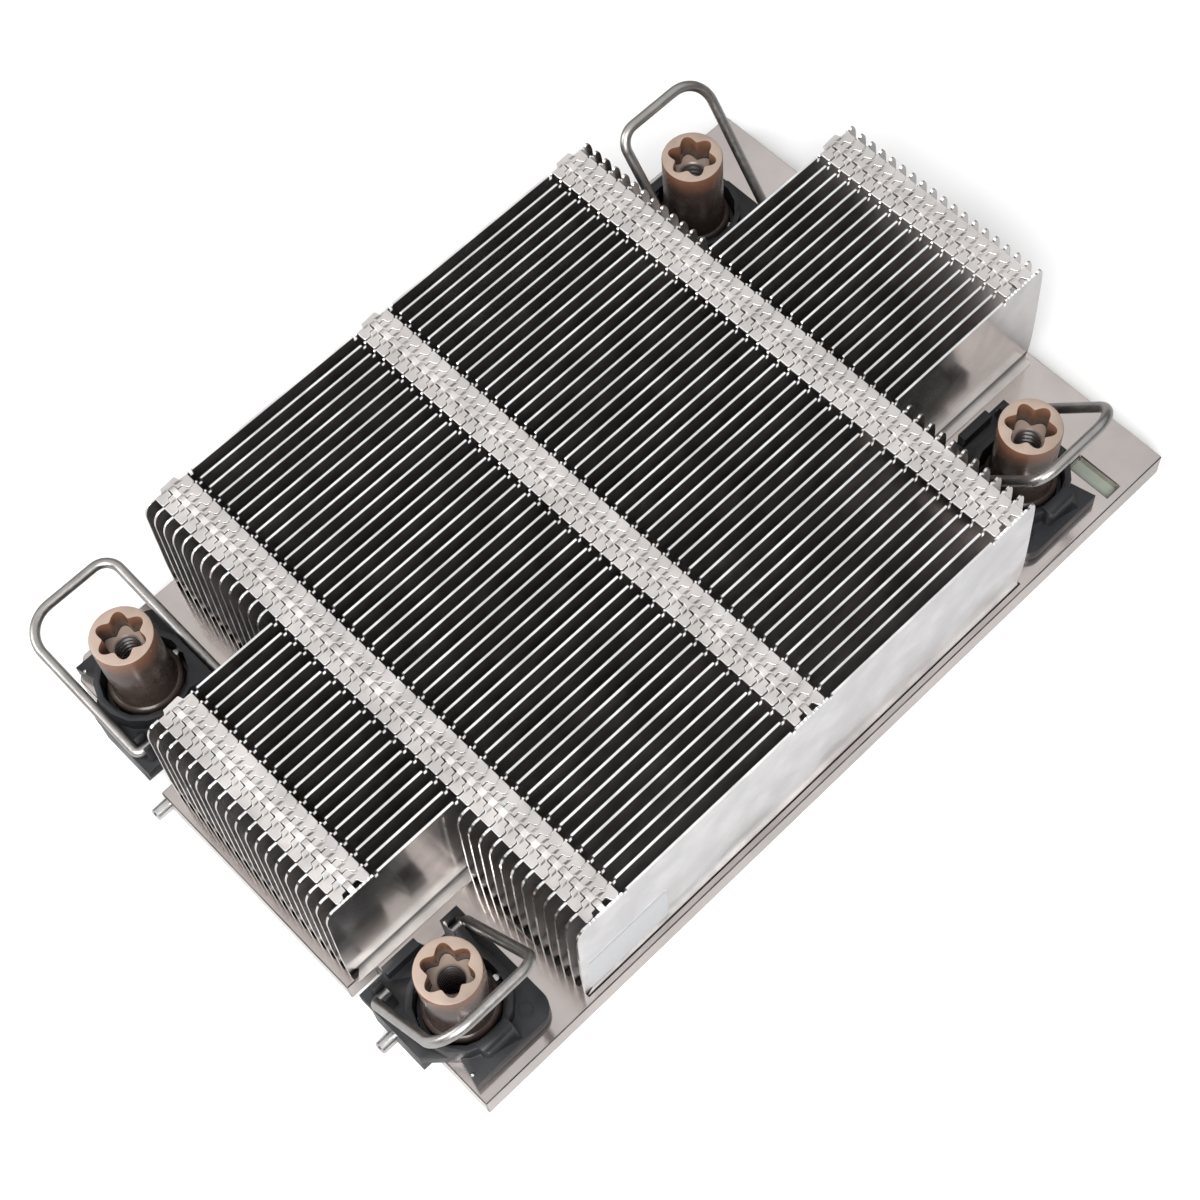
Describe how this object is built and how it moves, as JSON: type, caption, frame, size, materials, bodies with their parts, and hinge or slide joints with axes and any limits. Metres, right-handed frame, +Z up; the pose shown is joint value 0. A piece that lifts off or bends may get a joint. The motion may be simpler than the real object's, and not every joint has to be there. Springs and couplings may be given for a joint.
{
  "type": "passive server processor heatsink",
  "caption": "Low finned heatsink on a flat plated base, with a cross-shaped stack of locked fins, four captive corner nuts and swinging wire bails.",
  "frame": {"origin": "centre of the base plate's 118 by 78 mm underside", "axes": "+X along the fins, away from the edge with the tongue; +Y across the fins; +Z up, out of the fin stack"},
  "size_m": [0.1226, 0.0843, 0.0264],
  "materials": {
    "base_plate": "bright nickel plating",
    "fins": "bright rolled sheet",
    "holders": "satin moulded",
    "nuts": "satin machined",
    "steel_wire": "drawn wire",
    "pins": "ground"
  },
  "bodies": {
    "frame": {"base_plate": "base_plate", "fin_01": "fins", "fin_02": "fins", "fin_03": "fins", "fin_04": "fins", "fin_05": "fins", "fin_06": "fins", "fin_07": "fins", "fin_08": "fins", "fin_09": "fins", "fin_10": "fins", "fin_11": "fins", "fin_12": "fins", "fin_13": "fins", "fin_14": "fins", "fin_15": "fins", "fin_16": "fins", "fin_17": "fins", "fin_18": "fins", "fin_19": "fins", "fin_20": "fins", "fin_21": "fins", "fin_22": "fins", "fin_23": "fins", "fin_24": "fins", "fin_25": "fins", "fin_26": "fins", "fin_27": "fins", "fin_28": "fins", "fin_29": "fins", "fin_30": "fins", "fin_31": "fins", "fin_32": "fins", "fin_33": "fins", "fin_34": "fins", "fin_35": "fins", "fin_36": "fins", "fin_37": "fins", "fin_38": "fins", "fin_39": "fins", "fin_40": "fins", "fin_41": "fins", "fin_42": "fins", "fin_43": "fins", "fin_44": "fins", "holder_left": "holders", "holder_top": "holders", "holder_bottom": "holders", "holder_right": "holders", "edge_pins": "pins"},
    "bail_left": {"bail_left": "steel_wire"},
    "nut_left": {"nut_left": "nuts"},
    "bail_top": {"bail_top": "steel_wire"},
    "nut_top": {"nut_top": "nuts"},
    "bail_bottom": {"bail_bottom": "steel_wire"},
    "nut_bottom": {"nut_bottom": "nuts"},
    "bail_right": {"bail_right": "steel_wire"},
    "nut_right": {"nut_right": "nuts"}
  },
  "joints": [
    {"name": "bail_left_swing", "type": "hinge", "parent": "frame", "child": "bail_left", "pos_m": [-0.0533, 0.022, 0.0069], "axis": [1, 0, 0], "range_deg": [-6.2, 93.8]},
    {"name": "nut_left_spin", "type": "hinge", "parent": "frame", "child": "nut_left", "pos_m": [-0.0533, 0.029, 0.01], "axis": [0, 0, 1], "continuous": true},
    {"name": "bail_top_swing", "type": "hinge", "parent": "frame", "child": "bail_top", "pos_m": [0.0427, 0.022, 0.0069], "axis": [1, 0, 0], "range_deg": [-55.8, 44.2]},
    {"name": "nut_top_spin", "type": "hinge", "parent": "frame", "child": "nut_top", "pos_m": [0.0427, 0.029, 0.01], "axis": [0, 0, 1], "continuous": true},
    {"name": "bail_bottom_swing", "type": "hinge", "parent": "frame", "child": "bail_bottom", "pos_m": [-0.0533, -0.022, 0.0069], "axis": [-1, 0, 0], "range_deg": [-51.1, 48.9]},
    {"name": "nut_bottom_spin", "type": "hinge", "parent": "frame", "child": "nut_bottom", "pos_m": [-0.0533, -0.029, 0.01], "axis": [0, 0, 1], "continuous": true},
    {"name": "bail_right_swing", "type": "hinge", "parent": "frame", "child": "bail_right", "pos_m": [0.0427, -0.022, 0.0069], "axis": [-1, 0, 0], "range_deg": [-51.1, 48.9]},
    {"name": "nut_right_spin", "type": "hinge", "parent": "frame", "child": "nut_right", "pos_m": [0.0427, -0.029, 0.01], "axis": [0, 0, 1], "continuous": true}
  ]
}
